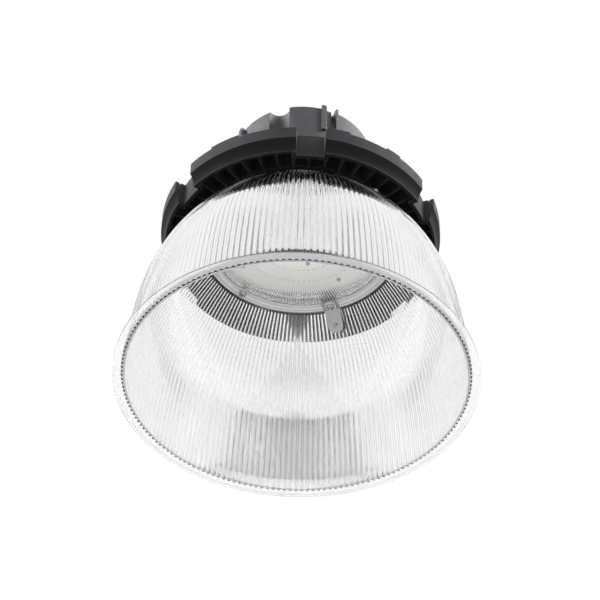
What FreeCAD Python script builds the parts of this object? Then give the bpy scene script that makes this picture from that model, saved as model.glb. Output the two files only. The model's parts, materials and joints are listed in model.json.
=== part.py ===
import FreeCAD, Part
import Sketcher
import math
import os

# High bay light: a driver housing on a round die-cast heat sink, an LED board behind a clear
# cover, and a clear prismatic bell reflector carried by three bent clips.
# Millimetres, +Z up. The origin is the centre of the reflector's mouth, on the plane it rests on.
# Angles are in degrees, anticlockwise from +X as seen from above.

vector = FreeCAD.Vector
document = FreeCAD.newDocument("high_bay_light")
sheet = document.addObject("Spreadsheet::Sheet", "sizes")
nodes = {}


# ---------------------------------------------------------------- sizes

class Size:
    """A number together with the sheet expression that it comes from."""

    def __init__(self, value, text):
        self.value = value
        self.text = text

    def combine(self, other, sign, result):
        return Size(result(self.value, other.value), f"({self.text} {sign} {other.text})")

    def __add__(self, other):
        return self.combine(as_size(other), "+", lambda a, b: a + b)

    def __sub__(self, other):
        return self.combine(as_size(other), "-", lambda a, b: a - b)

    def __mul__(self, other):
        return self.combine(as_size(other), "*", lambda a, b: a * b)

    def __truediv__(self, other):
        return self.combine(as_size(other), "/", lambda a, b: a / b)

    def __neg__(self):
        return self * -1


def as_size(number):
    """Wrap a plain number, such as a half or a double, so that it can join an expression."""
    if isinstance(number, Size):
        return number
    return Size(number, f"({number})")


def cosine(angle):
    return Size(math.cos(math.radians(angle.value)), f"cos({angle.text} * 1 deg)")


def sine(angle):
    return Size(math.sin(math.radians(angle.value)), f"sin({angle.text} * 1 deg)")


def polar(radius, angle):
    """The X and Y of a point at a radius and an angle."""
    return radius * cosine(angle), radius * sine(angle)


sheet_rows = []


def size(name, value):
    """Put one driving dimension in the sheet under its alias."""
    sheet_rows.append(name)
    row = len(sheet_rows)
    sheet.set(f"A{row}", name)
    sheet.set(f"B{row}", str(value))
    sheet.setAlias(f"B{row}", name)
    return Size(float(value), f"sizes.{name}")


ZERO = as_size(0)

# Reflector: the outline of its ridges is two arcs that meet in one tangent at the waist.
mouth_radius = size("mouth_radius", 210)
rim_height = size("rim_height", 2.4)
rim_step = size("rim_step", 0.8)
rim_foot_width = size("rim_foot_width", 4)
ridge_mouth_radius = size("ridge_mouth_radius", 201)
waist_height = size("waist_height", 100)
waist_radius = size("waist_radius", 189)
waist_lean = size("waist_lean", 10.2)
bell_height = size("bell_height", 222)
bell_top_radius = size("bell_top_radius", 125)
prism_count = size("prism_count", 180)
skin = size("skin", 3)
mouth_chamfer = size("mouth_chamfer", 0.5)

# Heat sink casting.
ring_radius = size("ring_radius", 170)
ring_foot_radius = size("ring_foot_radius", 164)
ring_inner_radius = size("ring_inner_radius", 160.5)
ring_bottom = size("ring_bottom", 212)
ring_band = size("ring_band", 230)
ring_top = size("ring_top", 247)
ring_hollow = size("ring_hollow", 34)
lip_width = size("lip_width", 5)
plate_bottom = size("plate_bottom", 240)
plate_top = size("plate_top", 245)
notch_angle = size("notch_angle", 5.8)
notch_count = size("notch_count", 6)
notch_face_radius = size("notch_face_radius", 157)
notch_wall = size("notch_wall", 4.5)
notch_return_angle = size("notch_return_angle", 1.9)
fin_count = size("fin_count", 48)
fin_width = size("fin_width", 2.6)
fin_bottom = size("fin_bottom", 218)
fin_slope_rise = size("fin_slope_rise", 6)
fin_slope_run = size("fin_slope_run", 5)
top_fin_width = size("top_fin_width", 2.4)
top_fin_height = size("top_fin_height", 10)
top_fin_start = size("top_fin_start", 100)
top_fin_end = size("top_fin_end", 150)
pad_height = size("pad_height", 3)
pad_depth = size("pad_depth", 8)

# Light engine, from the casting's land downwards.
land_radius = size("land_radius", 128)
land_height = size("land_height", 226)
recess_radius = size("recess_radius", 107)
recess_floor = size("recess_floor", 236.5)
thermal_pad_radius = size("thermal_pad_radius", 103)
thermal_pad_height = size("thermal_pad_height", 0.5)
board_radius = size("board_radius", 105.6)
board_height = size("board_height", 2)
package_length = size("package_length", 3.5)
package_width = size("package_width", 2.8)
package_height = size("package_height", 0.8)
package_pitch = size("package_pitch", 6.5)
board_screw_circle = size("board_screw_circle", 88)
board_screw_angle = size("board_screw_angle", 52)
board_screw_count = size("board_screw_count", 4)
inner_screw_circle = size("inner_screw_circle", 44)
inner_screw_angle = size("inner_screw_angle", 74)
inner_screw_count = size("inner_screw_count", 2)
board_hole_depth = size("board_hole_depth", 6)
gasket_height = size("gasket_height", 1)
gasket_inner_radius = size("gasket_inner_radius", 107.6)
cover_radius = size("cover_radius", 121.5)
cover_height = size("cover_height", 3)
cover_edge_width = size("cover_edge_width", 3)
cover_edge_step = size("cover_edge_step", 1)
cover_groove_start = size("cover_groove_start", 106.6)
cover_groove_pitch = size("cover_groove_pitch", 2.4)
cover_groove_count = size("cover_groove_count", 4)
cover_groove_width = size("cover_groove_width", 1.2)
cover_groove_depth = size("cover_groove_depth", 0.7)
skirt_radius = size("skirt_radius", 106.5)
skirt_wall = size("skirt_wall", 2)
skirt_height = size("skirt_height", 8)
cover_screw_circle = size("cover_screw_circle", 111)
cover_screw_angle = size("cover_screw_angle", 6)
cover_screw_count = size("cover_screw_count", 6)

# Fasteners: radii and head heights.
cover_shank_radius = size("cover_shank_radius", 2.4)
cover_head_radius = size("cover_head_radius", 5.2)
cover_head_height = size("cover_head_height", 3.2)
cover_shank_length = size("cover_shank_length", 14)
washer_radius = size("washer_radius", 7.4)
washer_height = size("washer_height", 1)
small_washer_radius = size("small_washer_radius", 6)
board_shank_radius = size("board_shank_radius", 1.45)
board_head_radius = size("board_head_radius", 2.8)
board_head_height = size("board_head_height", 1.8)
board_shank_length = size("board_shank_length", 7)
wall_shank_radius = size("wall_shank_radius", 1.6)
wall_head_radius = size("wall_head_radius", 3.2)
wall_head_height = size("wall_head_height", 2)
wall_nut_radius = size("wall_nut_radius", 3.6)
wall_nut_height = size("wall_nut_height", 2.6)
hole_clearance = size("hole_clearance", 0.1)

# Reflector clips.
clip_angle = size("clip_angle", 66)
clip_count = size("clip_count", 3)
clip_width = size("clip_width", 20)
clip_sheet = size("clip_sheet", 1.5)
clip_leg_start = size("clip_leg_start", 104)
clip_screw_height = size("clip_screw_height", 210)
clip_wall_gap = size("clip_wall_gap", 1.1)

# Driver housing.
platform_radius = size("platform_radius", 90)
platform_top = size("platform_top", 252)
housing_bottom = size("housing_bottom", 253.5)
housing_top = size("housing_top", 382)
housing_radius = size("housing_radius", 86)
housing_roof = size("housing_roof", 6)
housing_edge = size("housing_edge", 3)
groove_radius = size("groove_radius", 13.1)
groove_circle = size("groove_circle", 86.6)
groove_angle = size("groove_angle", 6)
feature_count = size("feature_count", 3)
rib_zone_start = size("rib_zone_start", -78.5)
rib_zone_end = size("rib_zone_end", -63.5)
rib_zone_bottom = size("rib_zone_bottom", 345)
rib_zone_depth = size("rib_zone_depth", 3)
rib_reach = size("rib_reach", 2.5)
rib_top = size("rib_top", 385)
first_rib_angle = size("first_rib_angle", 0)
first_rib_width = size("first_rib_width", 3.9)
second_rib_angle = size("second_rib_angle", 12.3)
second_rib_width = size("second_rib_width", 1.9)
slot_angle = size("slot_angle", 9.5)
slot_width = size("slot_width", 2.6)
slot_bottom = size("slot_bottom", 362)
slot_depth = size("slot_depth", 8)
cavity_radius = size("cavity_radius", 70)
tower_circle = size("tower_circle", 89.5)
tower_angle = size("tower_angle", 28)
tower_count = size("tower_count", 2)
tower_radius = size("tower_radius", 4.4)
tower_top = size("tower_top", 374)
tower_foot_radius = size("tower_foot_radius", 8)
bolt_shank_radius = size("bolt_shank_radius", 1.9)
bolt_head_radius = size("bolt_head_radius", 3.5)
bolt_head_height = size("bolt_head_height", 4)

# Driver and its wires.
driver_radius = size("driver_radius", 62)
driver_height = size("driver_height", 84)
driver_lug_radius = size("driver_lug_radius", 69)
driver_lug_height = size("driver_lug_height", 5)
wire_radius = size("wire_radius", 1)
wire_offset = size("wire_offset", 2)
wire_hole_radius = size("wire_hole_radius", 7)
terminal_length = size("terminal_length", 20)
terminal_width = size("terminal_width", 10)
terminal_height = size("terminal_height", 5)

# Suspension and cord inlet.
boss_radius = size("boss_radius", 17)
boss_height = size("boss_height", 3)
eye_washer_radius = size("eye_washer_radius", 14)
eye_washer_height = size("eye_washer_height", 2)
eye_collar_radius = size("eye_collar_radius", 11)
eye_collar_height = size("eye_collar_height", 5)
eye_shank_radius = size("eye_shank_radius", 5)
eye_outer_radius = size("eye_outer_radius", 21)
eye_hole_radius = size("eye_hole_radius", 13)
eye_thickness = size("eye_thickness", 10)
eye_chamfer = size("eye_chamfer", 1.5)
eye_nut_across = size("eye_nut_across", 17)
eye_nut_height = size("eye_nut_height", 8)
inlet_circle = size("inlet_circle", 52)
gland_thread_radius = size("gland_thread_radius", 8)
gland_across = size("gland_across", 22)
gland_hex_height = size("gland_hex_height", 6)
gland_neck_radius = size("gland_neck_radius", 9)
gland_neck_height = size("gland_neck_height", 8)
gland_bore_radius = size("gland_bore_radius", 4.5)
gland_seal_radius = size("gland_seal_radius", 6.5)
gland_seal_height = size("gland_seal_height", 12)
gland_cap_height = size("gland_cap_height", 16)
gland_cap_wall = size("gland_cap_wall", 2.8)
gland_dome_height = size("gland_dome_height", 6)
grip_radius = size("grip_radius", 1.2)
grip_count = size("grip_count", 12)
gland_nut_height = size("gland_nut_height", 5)
vent_radius = size("vent_radius", 9)
vent_height = size("vent_height", 7)
vent_thread_radius = size("vent_thread_radius", 5.9)

document.recompute()

BOARD_SCREWS = (
    ("outer", board_screw_circle, board_screw_angle, board_screw_count),
    ("inner", inner_screw_circle, inner_screw_angle, inner_screw_count),
)
LED_ROW_RADII = (33, 55, 77, 99)
# Raised pads on the ring: the angle of each one's middle, and half its spread.
RING_PADS = ((-126, 6.5), (-79, 4.8), (-54, 3.5))


# ---------------------------------------------------------------- building helpers

def bind(thing, prop, amount):
    """Tie a property to the sheet."""
    thing.setExpression(prop, as_size(amount).text)


def new_body(name):
    body = document.addObject("PartDesign::Body", name)
    body.Label = name
    return body


def keep(name, thing):
    """Register an object as one of the lamp's nodes."""
    thing.Label = name
    nodes[name] = thing
    return thing


def place(thing, x=ZERO, y=ZERO):
    """Move an object sideways, bound to the sheet."""
    bind(thing, "Placement.Base.x", x)
    bind(thing, "Placement.Base.y", y)


def empty_sketch(body, name, role, height=ZERO):
    """A sketch on one of the body's origin planes, lifted along the plane's normal."""
    plane = next(item for item in body.Origin.OriginFeatures if item.Role == role)
    sketch = body.newObject("Sketcher::SketchObject", name)
    sketch.AttachmentSupport = [(plane, "")]
    sketch.MapMode = "FlatFace"
    bind(sketch, "AttachmentOffset.Base.z", height)
    return sketch


def hold_point(sketch, geometry, end, x, y):
    """Fix a point of the sketch at two bound distances from the sketch's origin."""
    across = sketch.addConstraint(Sketcher.Constraint("DistanceX", -1, 1, geometry, end, x.value))
    along = sketch.addConstraint(Sketcher.Constraint("DistanceY", -1, 1, geometry, end, y.value))
    sketch.setExpression(f"Constraints[{across}]", x.text)
    sketch.setExpression(f"Constraints[{along}]", y.text)


def arc_top(start, finish, radius):
    """Middle of an arc from start to finish; a positive radius bows it to the right."""
    chord = finish - start
    middle = (start + finish) * 0.5
    right = vector(chord.y, -chord.x, 0).normalize()
    rise = abs(radius) - math.sqrt(radius ** 2 - (chord.Length / 2) ** 2)
    return middle + right * math.copysign(rise, radius)


def outline(body, name, role, corners, height=ZERO):
    """A closed sketch through corners (x, y) or (x, y, radius of the arc to the next corner)."""
    sketch = empty_sketch(body, name, role, height)
    points = [vector(as_size(c[0]).value, as_size(c[1]).value, 0) for c in corners]
    count = len(corners)
    ends = []
    for index, corner in enumerate(corners):
        start = points[index]
        finish = points[(index + 1) % count]
        if len(corner) == 3:
            middle = arc_top(start, finish, corner[2].value)
            sketch.addGeometry(Part.Arc(start, middle, finish), False)
            first = sketch.getPoint(index, 1).distanceToPoint(start) < 1e-6
            ends.append((1, 2) if first else (2, 1))
        else:
            sketch.addGeometry(Part.LineSegment(start, finish), False)
            ends.append((1, 2))
    for index in range(count):
        after = (index + 1) % count
        joint = Sketcher.Constraint("Coincident", index, ends[index][1], after, ends[after][0])
        sketch.addConstraint(joint)
    for index, corner in enumerate(corners):
        hold_point(sketch, index, ends[index][0], as_size(corner[0]), as_size(corner[1]))
        if len(corner) == 3:
            radius = Size(abs(corner[2].value), f"abs({corner[2].text})")
            held = sketch.addConstraint(Sketcher.Constraint("Radius", index, radius.value))
            sketch.setExpression(f"Constraints[{held}]", radius.text)
    return sketch


def circles(body, name, role, rings, height=ZERO):
    """A sketch of circles, each (x, y, radius)."""
    sketch = empty_sketch(body, name, role, height)
    for index, (x, y, radius) in enumerate(rings):
        x, y, radius = as_size(x), as_size(y), as_size(radius)
        circle = Part.Circle(vector(x.value, y.value, 0), vector(0, 0, 1), radius.value)
        sketch.addGeometry(circle, False)
        held = sketch.addConstraint(Sketcher.Constraint("Radius", index, radius.value))
        sketch.setExpression(f"Constraints[{held}]", radius.text)
        hold_point(sketch, index, 3, x, y)
    return sketch


def sector(body, name, inner, outer, start, end, height=ZERO):
    """A sketch of a ring sector on the XY plane, between two radii and two angles."""
    return outline(body, name, "XY_Plane", [
        polar(inner, start) + (inner,),
        polar(inner, end),
        polar(outer, end) + (-outer,),
        polar(outer, start),
    ], height)


def hexagon(across):
    """Six corners of a hexagon of the given width across its flats."""
    reach = across / math.sqrt(3)
    return [polar(reach, as_size(60 * side)) for side in range(6)]


def turn_about_z(body, sketch, name):
    """Revolve a sketch on the XZ plane about the body's +Z."""
    solid = body.newObject("PartDesign::Revolution", name)
    solid.Profile = sketch
    solid.ReferenceAxis = (sketch, ["V_Axis"])
    solid.Angle = 360
    return solid


def pad(body, sketch, name, length, both_ways=False):
    solid = body.newObject("PartDesign::Pad", name)
    solid.Profile = sketch
    bind(solid, "Length", length)
    solid.Midplane = both_ways
    return solid


def pocket(body, sketch, name, depth):
    """Cut downwards from the sketch's plane, and make sure that something is cut."""
    document.recompute()
    before = body.Shape.Volume
    hole = body.newObject("PartDesign::Pocket", name)
    hole.Profile = sketch
    bind(hole, "Length", depth)
    document.recompute()
    if body.Shape.Volume >= before - 0.01:
        raise RuntimeError(f"{name} cuts nothing")
    return hole


def repeat(body, feature, name, count, sketch, axis="N_Axis"):
    """Repeat a feature evenly round the sketch's normal."""
    pattern = body.newObject("PartDesign::PolarPattern", name)
    pattern.Originals = [feature]
    pattern.Axis = (sketch, [axis])
    pattern.Angle = 360
    bind(pattern, "Occurrences", count)
    body.Tip = pattern
    return pattern


def bore_ring(body, name, circle_radius, angle, hole_radius, top, depth, count):
    """Equal round holes evenly spaced on a circle, cut downwards from a height."""
    x, y = polar(circle_radius, angle)
    plan = circles(body, f"{name}_plan", "XY_Plane", [(x, y, hole_radius)], top)
    first = pocket(body, plan, name, depth)
    repeat(body, first, f"{name}s", count, plan)


def turned(name, corners):
    """A body revolved about +Z from corners (radius, height)."""
    body = new_body(name)
    sketch = outline(body, f"{name}_profile", "XZ_Plane", corners)
    turn_about_z(body, sketch, f"{name}_turning")
    return body


def ring_corners(inner, outer, low, high):
    return [(inner, low), (outer, low), (outer, high), (inner, high)]


def add_discs(body, name, discs, radius, angle, count):
    """Equal round pieces on a circle round +Z, each of discs (low, high, outer, inner)."""
    x, y = polar(radius, angle)
    for index, (low, high, outer, inner) in enumerate(discs):
        shape = [(x, y, outer)]
        if inner is not None:
            shape.append((x, y, inner))
        sketch = circles(body, f"{name}_disc_{index}", "XY_Plane", shape, low)
        solid = pad(body, sketch, f"{name}_pad_{index}", high - low)
        repeat(body, solid, f"{name}_ring_{index}", count, sketch)


def turned_at(name, discs, radius, angle, count):
    """A node of equal round pieces on one circle."""
    body = new_body(name)
    add_discs(body, name, discs, radius, angle, count)
    return body


# ---------------------------------------------------------------- heat sink

def make_heat_sink():
    body = new_body("heat_sink")
    section = outline(body, "heat_sink_section", "XZ_Plane", [
        (wire_hole_radius, recess_floor),
        (recess_radius, recess_floor),
        (recess_radius, land_height),
        (land_radius, land_height),
        (land_radius, plate_bottom),
        (ring_inner_radius, plate_bottom),
        (ring_inner_radius, ring_bottom),
        (ring_foot_radius, ring_bottom, -ring_hollow),
        (ring_radius, ring_band),
        (ring_radius, ring_top),
        (ring_radius - lip_width, ring_top),
        (ring_radius - lip_width, plate_top),
        (platform_radius, plate_top),
        (platform_radius, platform_top),
        (wire_hole_radius, platform_top),
    ])
    turn_about_z(body, section, "heat_sink_casting")

    # Radial fins under the plate, between the land and the ring.
    reach_in = land_radius - 1
    reach_out = ring_inner_radius + 0.5
    fin = outline(body, "fin_outline", "XZ_Plane", [
        (reach_in, fin_bottom + fin_slope_rise),
        (reach_in + fin_slope_run, fin_bottom),
        (reach_out, fin_bottom),
        (reach_out, plate_bottom + 0.5),
        (reach_in, plate_bottom + 0.5),
    ])
    first_fin = pad(body, fin, "fin", fin_width, both_ways=True)
    repeat(body, first_fin, "fins", fin_count, section, "V_Axis")

    # Radial fins on the plate's top, sloping down towards the ring.
    fin = outline(body, "top_fin_outline", "XZ_Plane", [
        (top_fin_start, plate_top - 0.5),
        (top_fin_end, plate_top - 0.5),
        (top_fin_end, plate_top + top_fin_height / 2),
        (top_fin_end - top_fin_height, plate_top + top_fin_height),
        (top_fin_start, plate_top + top_fin_height),
    ])
    first_fin = pad(body, fin, "top_fin", top_fin_width, both_ways=True)
    repeat(body, first_fin, "top_fins", fin_count, section, "V_Axis")

    # Each notch sets the ring's wall back behind two radial cheeks.
    corner = -as_size(90)
    wide = notch_angle + notch_return_angle
    wall = sector(body, "notch_wall_plan", notch_face_radius - notch_wall,
                  ring_foot_radius - 1, corner - wide, corner + wide, ring_bottom)
    first_wall = pad(body, wall, "notch_wall", ring_top - ring_bottom)
    repeat(body, first_wall, "notch_walls", notch_count, wall)
    opening = sector(body, "notch_plan", notch_face_radius, ring_radius + 2,
                     corner - notch_angle, corner + notch_angle, ring_top + 1)
    first_notch = pocket(body, opening, "notch", ring_top - ring_bottom + 2)
    repeat(body, first_notch, "notches", notch_count, opening)

    # Low raised pads on the ring's top, on both sides of the lamp.
    for index, (middle, spread) in enumerate(RING_PADS):
        plan = sector(body, f"pad_plan_{index}", ring_radius - pad_depth, ring_radius,
                      as_size(middle - spread), as_size(middle + spread), ring_top - 1)
        raised = pad(body, plan, f"pad_{index}", pad_height + 1)
        repeat(body, raised, f"pads_{index}", tower_count, plan)

    # Feet for the housing's two bolt towers.
    foot = (plate_top - 1, platform_top, tower_foot_radius, None)
    add_discs(body, "tower_foot", [foot], tower_circle, tower_angle, tower_count)

    # Blind holes: from above for the housing's bolts, from below for the cover and the board.
    bore_ring(body, "bolt_hole", tower_circle, tower_angle, bolt_shank_radius + hole_clearance,
              platform_top, platform_top - plate_bottom, tower_count)
    bore_ring(body, "cover_hole", cover_screw_circle, cover_screw_angle,
              cover_shank_radius + hole_clearance, land_height + cover_shank_length,
              cover_shank_length, cover_screw_count)
    for name, circle, angle, count in BOARD_SCREWS:
        bore_ring(body, f"{name}_hole", circle, angle, board_shank_radius + hole_clearance,
                  recess_floor + board_hole_depth, board_hole_depth, count)
    return keep("heat_sink", body)


# ---------------------------------------------------------------- light engine

def board_front():
    return recess_floor - thermal_pad_height - board_height


def make_board():
    """The LED board on its thermal pad, and the screws through both."""
    clear = board_shank_radius + hole_clearance * 2
    front = board_front()
    back = recess_floor - thermal_pad_height
    for node, radius, low, high in (("thermal_pad", thermal_pad_radius, back, recess_floor),
                                    ("led_board", board_radius, front, back)):
        disc = turned(node, ring_corners(wire_hole_radius, radius, low, high))
        for name, circle, angle, count in BOARD_SCREWS:
            bore_ring(disc, f"{node}_{name}_hole", circle, angle, clear, high, high - low, count)
        keep(node, disc)

    screws = new_body("board_screws")
    head = (front - board_head_height, front, board_head_radius, None)
    shank = (front, front + board_shank_length, board_shank_radius, None)
    for name, circle, angle, count in BOARD_SCREWS:
        add_discs(screws, f"{name}_screw", [head, shank], circle, angle, count)
    keep("board_screws", screws)


def make_led_packages():
    """Rings of LED packages on the board's face."""
    front = board_front().value
    box_height = package_height.value
    packages = []
    for row_radius in LED_ROW_RADII:
        count = round(2 * math.pi * row_radius / package_pitch.value)
        for index in range(count):
            angle = 360 * index / count
            corner = vector(row_radius - package_width.value / 2, -package_length.value / 2,
                            front - box_height)
            package = Part.makeBox(package_width.value, package_length.value, box_height, corner)
            package.rotate(vector(0, 0, 0), vector(0, 0, 1), angle)
            packages.append(package)
    node = document.addObject("Part::Feature", "led_packages")
    node.Shape = Part.makeCompound(packages)
    keep("led_packages", node)


def make_cover():
    """Clear cover: a flat disc with fine round grooves, a thinner edge and a skirt above."""
    top = land_height - gasket_height
    low = top - cover_height
    corners = [(ZERO, low)]
    for index in range(int(cover_groove_count.value)):
        start = cover_groove_start + cover_groove_pitch * index
        corners.append((start, low))
        corners.append((start + cover_groove_width / 2, low + cover_groove_depth))
        corners.append((start + cover_groove_width, low))
    corners += [
        (cover_radius - cover_edge_width, low),
        (cover_radius - cover_edge_width, low + cover_edge_step),
        (cover_radius, low + cover_edge_step),
        (cover_radius, top),
        (skirt_radius, top),
        (skirt_radius, top + skirt_height),
        (skirt_radius - skirt_wall, top + skirt_height),
        (skirt_radius - skirt_wall, top),
        (ZERO, top),
    ]
    clear = cover_shank_radius + hole_clearance * 2
    body = turned("lens_cover", corners)
    bore_ring(body, "lens_hole", cover_screw_circle, cover_screw_angle, clear,
              top, cover_height + 1, cover_screw_count)
    keep("lens_cover", body)
    gasket = turned("lens_gasket", ring_corners(gasket_inner_radius, cover_radius,
                                                top, land_height))
    bore_ring(gasket, "lens_gasket_hole", cover_screw_circle, cover_screw_angle, clear,
              land_height, gasket_height, cover_screw_count)
    keep("lens_gasket", gasket)
    return low


def make_cover_screws(cover_low):
    """Three plain cover screws, and three longer ones that also hold the reflector's clips."""
    shank_end = land_height + cover_shank_length - 2
    seat = cover_low - washer_height
    washers = turned_at("lens_washers", [(seat, cover_low, small_washer_radius,
                                          cover_shank_radius + hole_clearance)],
                        cover_screw_circle, cover_screw_angle, clip_count)
    keep("lens_washers", washers)
    screws = turned_at("lens_screws", [
        (seat - cover_head_height, seat, cover_head_radius, None),
        (seat, shank_end, cover_shank_radius, None),
    ], cover_screw_circle, cover_screw_angle, clip_count)
    keep("lens_screws", screws)

    leg_low = cover_low - clip_sheet
    seat = leg_low - washer_height
    washers = turned_at("clip_washers", [(seat, leg_low, washer_radius,
                                          cover_shank_radius + hole_clearance)],
                        cover_screw_circle, clip_angle, clip_count)
    keep("clip_washers", washers)
    screws = turned_at("clip_screws", [
        (seat - cover_head_height, seat, cover_head_radius, None),
        (seat, shank_end, cover_shank_radius, None),
    ], cover_screw_circle, clip_angle, clip_count)
    keep("clip_screws", screws)


# ---------------------------------------------------------------- reflector

class BellLine:
    """The reflector's outline: a shallow arc up to the waist, then a tighter one to the neck."""

    def __init__(self):
        self.lean = math.radians(waist_lean.value)
        self.lower = self.arc_through(ridge_mouth_radius.value, 0)
        self.upper = self.arc_through(bell_top_radius.value, bell_height.value)
        self.arc_radius, self.centre_radius, self.centre_height = self.upper

    def arc_through(self, radius, height):
        """Radius and centre of the arc through a point that leans as the waist does."""
        out, up = math.cos(self.lean), math.sin(self.lean)
        across = radius - waist_radius.value
        rise = height - waist_height.value
        arc = -(across ** 2 + rise ** 2) / (2 * (out * across + up * rise))
        return arc, waist_radius.value - arc * out, waist_height.value - arc * up

    def ridge_radius(self, height):
        """Radius over the prisms' ridges."""
        arc = self.lower if height <= waist_height.value else self.upper
        return arc[1] + math.sqrt(arc[0] ** 2 - (height - arc[2]) ** 2)

    def valley_radius(self, height):
        """Radius in the valleys of the right-angled prisms."""
        return self.ridge_radius(height) * (1 - math.pi / prism_count.value)

    def inner_radius(self, height):
        """Radius of the smooth inner face."""
        return self.valley_radius(height) - skin.value

    def arc_angle(self, height):
        return math.asin((height - self.centre_height) / self.arc_radius)


bell = BellLine()


def bell_stations():
    """Heights at which the prisms' facets break; the top facets are flat under the clips' nuts."""
    screw_angle = bell.arc_angle(clip_screw_height.value)
    top_angle = bell.arc_angle(bell_height.value)
    last = 2 * screw_angle - top_angle
    steps = 4
    angles = [bell.lean + (last - bell.lean) * step / steps for step in range(steps + 1)]
    angles.append(top_angle)
    heights = [bell.centre_height + bell.arc_radius * math.sin(angle) for angle in angles]
    return [rim_height.value / 2, waist_height.value / 2] + heights


def prism_wire(height):
    """A star-shaped wire: one ridge and one valley to each prism."""
    count = int(prism_count.value)
    points = []
    for index in range(2 * count):
        radius = bell.valley_radius(height) if index % 2 else bell.ridge_radius(height)
        angle = math.pi * index / count
        points.append(vector(radius * math.cos(angle), radius * math.sin(angle), height))
    points.append(points[0])
    return Part.makePolygon(points)


def revolved(edges):
    """Revolve a closed run of edges in the XZ plane about +Z."""
    face = Part.Face(Part.Wire(edges))
    return face.revolve(vector(0, 0, 0), vector(0, 0, 1), 360)


def revolved_corners(corners):
    points = [vector(radius, 0, height) for radius, height in corners]
    points.append(points[0])
    return revolved(Part.makePolygon(points).Edges)


def bell_inside():
    """The smooth space inside the bell, with the mouth's inner chamfer."""
    top = bell_height.value
    low = mouth_chamfer.value
    half = waist_height.value / 2
    middle = (waist_height.value + top) / 2
    corner = vector(bell.inner_radius(low), 0, low)
    mouth = vector(corner.x + low, 0, 0)
    belly = vector(bell.inner_radius(half), 0, half)
    waist = vector(bell.inner_radius(waist_height.value), 0, waist_height.value)
    bend = vector(bell.inner_radius(middle), 0, middle)
    neck = vector(bell.inner_radius(top), 0, top)
    below = vector(mouth.x, 0, -1)
    above = vector(neck.x, 0, top + 1)
    axis_low = vector(0, 0, -1)
    axis_high = vector(0, 0, top + 1)
    return revolved([
        Part.makeLine(axis_low, below),
        Part.makeLine(below, mouth),
        Part.makeLine(mouth, corner),
        Part.Arc(corner, belly, waist).toShape(),
        Part.Arc(waist, bend, neck).toShape(),
        Part.makeLine(neck, above),
        Part.makeLine(above, axis_high),
        Part.makeLine(axis_high, axis_low),
    ])


def wall_normal():
    """Outward direction of the wall at a clip's screw, as (radius, height)."""
    angle = bell.arc_angle(clip_screw_height.value)
    return math.cos(angle), math.sin(angle)


def wall_point(distance):
    """A point (radius, height) on a wall screw's axis, at a distance from the arc's centre."""
    out, up = wall_normal()
    return bell.centre_radius + distance * out, bell.centre_height + distance * up


def inner_face_distance():
    """Distance from the arc's centre to the bell's inner face, along a wall screw's axis."""
    height = clip_screw_height.value
    reach = bell.inner_radius(height) - bell.centre_radius
    return math.hypot(reach, height - bell.centre_height)


def wall_cylinder(radius, start, end, angle):
    """A cylinder along a wall screw's axis, turned to a clip's angle."""
    out, up = wall_normal()
    base = wall_point(start)
    post = Part.makeCylinder(radius, end - start, vector(base[0], 0, base[1]), vector(out, 0, up))
    post.rotate(vector(0, 0, 0), vector(0, 0, 1), angle)
    return post


def clip_angles():
    step = 360 / clip_count.value
    return [clip_angle.value + step * index for index in range(int(clip_count.value))]


def make_reflector():
    """Clear moulded bell: upright prisms outside, smooth inside, with an outward rim."""
    wires = [prism_wire(height) for height in bell_stations()]
    prisms = Part.makeLoft(wires, True, True)
    foot = mouth_radius.value - rim_foot_width.value
    start = bell.inner_radius(0) - 1
    rim = revolved_corners([
        (start, rim_step.value),
        (foot, rim_step.value),
        (foot, 0),
        (mouth_radius.value, 0),
        (mouth_radius.value, rim_height.value),
        (start, rim_height.value),
    ])
    shape = prisms.fuse(rim).cut(bell_inside())
    for angle in clip_angles():
        hole = wall_shank_radius.value + hole_clearance.value
        reach = inner_face_distance()
        shape = shape.cut(wall_cylinder(hole, reach - 8, reach + 12, angle))
    node = document.addObject("Part::Feature", "reflector")
    node.Shape = shape.Solids[0] if len(shape.Solids) == 1 else shape
    return keep("reflector", node)


# ---------------------------------------------------------------- clips

def face_point(distance, height):
    """Radius at a height on the plane across a wall screw's axis at a distance from the centre."""
    out, up = wall_normal()
    radius, level = wall_point(distance)
    return radius - (height - level) * up / out


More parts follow.
